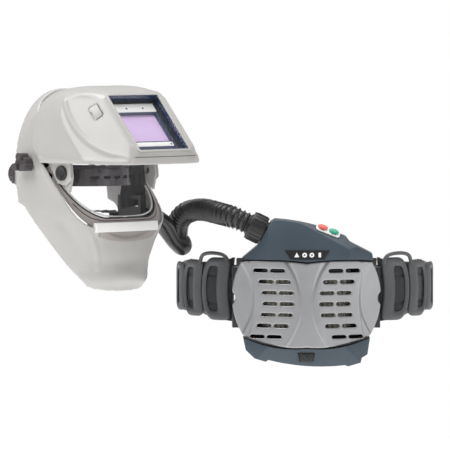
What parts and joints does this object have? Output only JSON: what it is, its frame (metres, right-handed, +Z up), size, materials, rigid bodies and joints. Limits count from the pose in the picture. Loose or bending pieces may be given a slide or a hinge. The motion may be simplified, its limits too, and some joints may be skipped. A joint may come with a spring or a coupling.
{
  "type": "powered air respirator",
  "caption": "Welding helmet with a flip-up auto-darkening front, fed through a ribbed breathing hose by a belt-worn filter blower with a padded waist belt.",
  "frame": {"origin": "middle of the blower's flat back pad, where it rests on the wearer's waist", "axes": "+Y out of the back pad towards the wearer, +Z up, +X to the right seen from the front of the blower"},
  "size_m": [0.6893, 0.4845, 0.4475],
  "materials": {
    "helmet_grey": "satin moulded shell",
    "slate_plastic": "satin slate blue-grey",
    "silver_paint": "metallic silver paint on moulding",
    "black_plastic": "satin black",
    "hose_rubber": "ribbed semi-gloss rubber",
    "knob_grey": "dark grey",
    "link_grey": "grey moulding",
    "pad_fabric": "black padded webbing",
    "seal_fabric": "black seal fabric",
    "clear_shield": "clear polycarbonate",
    "filter_lens": "auto-darkening filter",
    "white_plastic": "white moulding",
    "red_button": "red",
    "green_button": "green",
    "display_black": "glossy black",
    "icon_white": "lit icons",
    "steel": "plain steel",
    "filter_paper": "pleated medium",
    "board_green": "circuit board",
    "headband_plastic": "dark moulded band"
  },
  "bodies": {
    "root": {"rear_housing": "slate_plastic", "top_housing": "slate_plastic", "fan_volute": "black_plastic", "fan_motor": "steel", "filter": "filter_paper", "filter_gasket": "hose_rubber", "outlet_spigot": "black_plastic", "hose_cuff": "hose_rubber", "breathing_hose": "hose_rubber", "circuit_board": "board_green", "display_window": "display_black", "display_icons": "icon_white", "button_surround": "white_plastic", "housing_screws": "steel", "belt_pad_right": "pad_fabric", "belt_pad_left": "pad_fabric", "belt_links_right": "link_grey", "belt_links_left": "link_grey", "harness_loop_right": "black_plastic", "harness_loop_left": "black_plastic", "webbing_right": "pad_fabric", "webbing_left": "pad_fabric", "buckle_socket": "black_plastic", "hose_elbow": "hose_rubber", "helmet_shell": "helmet_grey", "lip_bar": "white_plastic", "shield_frame": "black_plastic", "shield_window": "clear_shield", "pivot_plate_right": "helmet_grey", "pivot_plate_left": "helmet_grey", "pivot_bolt_right": "steel", "pivot_bolt_left": "steel", "face_seal": "seal_fabric", "helmet_air_duct": "black_plastic"},
    "hood": {"flip_front": "helmet_grey", "front_cover_lens": "clear_shield", "lens_gasket": "black_plastic", "lens_cartridge": "black_plastic", "filter_glass": "filter_lens", "light_sensors": "display_black", "solar_cell": "display_black", "flip_pivot_right": "knob_grey", "flip_pivot_left": "knob_grey"},
    "headgear": {"headband": "headband_plastic", "headgear_arms": "headband_plastic", "sweatband": "seal_fabric", "crown_straps": "headband_plastic", "ratchet_housing": "headband_plastic"},
    "grind": {"grind_button": "helmet_grey"},
    "knob_right": {"tension_knob_right": "knob_grey"},
    "knob_left": {"tension_knob_left": "knob_grey"},
    "ratchet": {"ratchet_knob": "knob_grey"},
    "cap": {"hose_cap": "black_plastic"},
    "red": {"button_red": "red_button"},
    "green": {"button_green": "green_button"},
    "latch": {"battery_latch": "black_plastic"},
    "battery": {"battery_pack": "slate_plastic"},
    "cover": {"grille_cover": "silver_paint"},
    "impeller": {"fan_impeller": "black_plastic"},
    "plug": {"buckle_plug": "black_plastic"}
  },
  "joints": [
    {"name": "hood_flip", "type": "hinge", "parent": "root", "child": "hood", "pos_m": [-0.31914, -0.04911, 0.198], "axis": [0.6947, 0.7193, 0], "range_deg": [0, 50]},
    {"name": "grind_press", "type": "slide", "parent": "hood", "child": "grind", "axis": [0.3082, 0.8892, -0.3382], "range_m": [0, 0.002], "stiffness_N_per_m": 300, "springref_m": -0.001},
    {"name": "headgear_tilt", "type": "hinge", "parent": "root", "child": "headgear", "pos_m": [-0.37, 0, 0.212], "axis": [0.6947, 0.7193, 0], "range_deg": [-8, 8]},
    {"name": "knob_right_turn", "type": "hinge", "parent": "root", "child": "knob_right", "pos_m": [-0.44919, -0.082, 0.212], "axis": [-0.6947, -0.7193, 0], "range_deg": [-120, 120]},
    {"name": "knob_left_turn", "type": "hinge", "parent": "root", "child": "knob_left", "pos_m": [-0.29081, 0.082, 0.212], "axis": [0.6947, 0.7193, 0], "range_deg": [-120, 120]},
    {"name": "ratchet_turn", "type": "hinge", "parent": "headgear", "child": "ratchet", "pos_m": [-0.46351, 0.09031, 0.19], "axis": [-0.7193, 0.6947, 0], "continuous": true},
    {"name": "cap_turn", "type": "hinge", "parent": "root", "child": "cap", "pos_m": [-0.067, -0.045, 0.102], "axis": [-0.899, 0, 0.438], "range_deg": [0, 90]},
    {"name": "red_press", "type": "slide", "parent": "root", "child": "red", "axis": [-0.2794, 0.6587, -0.6986], "range_m": [0, 0.001], "stiffness_N_per_m": 300, "springref_m": -0.001},
    {"name": "green_press", "type": "slide", "parent": "root", "child": "green", "axis": [-0.2794, 0.6587, -0.6986], "range_m": [0, 0.001], "stiffness_N_per_m": 300, "springref_m": -0.001},
    {"name": "battery_slide", "type": "slide", "parent": "root", "child": "battery", "axis": [0, 0, -1], "range_m": [0, 0.06]},
    {"name": "latch_press", "type": "slide", "parent": "battery", "child": "latch", "axis": [0, 1, 0], "range_m": [0, 0.004], "stiffness_N_per_m": 400, "springref_m": -0.001},
    {"name": "cover_slide", "type": "slide", "parent": "root", "child": "cover", "axis": [0, -1, 0], "range_m": [0, 0.05]},
    {"name": "impeller_spin", "type": "hinge", "parent": "root", "child": "impeller", "pos_m": [0.004, -0.024, -0.008], "axis": [0, 1, 0], "continuous": true},
    {"name": "buckle_release", "type": "slide", "parent": "root", "child": "plug", "axis": [-1, 0, 0], "range_m": [0, 0.045]}
  ]
}
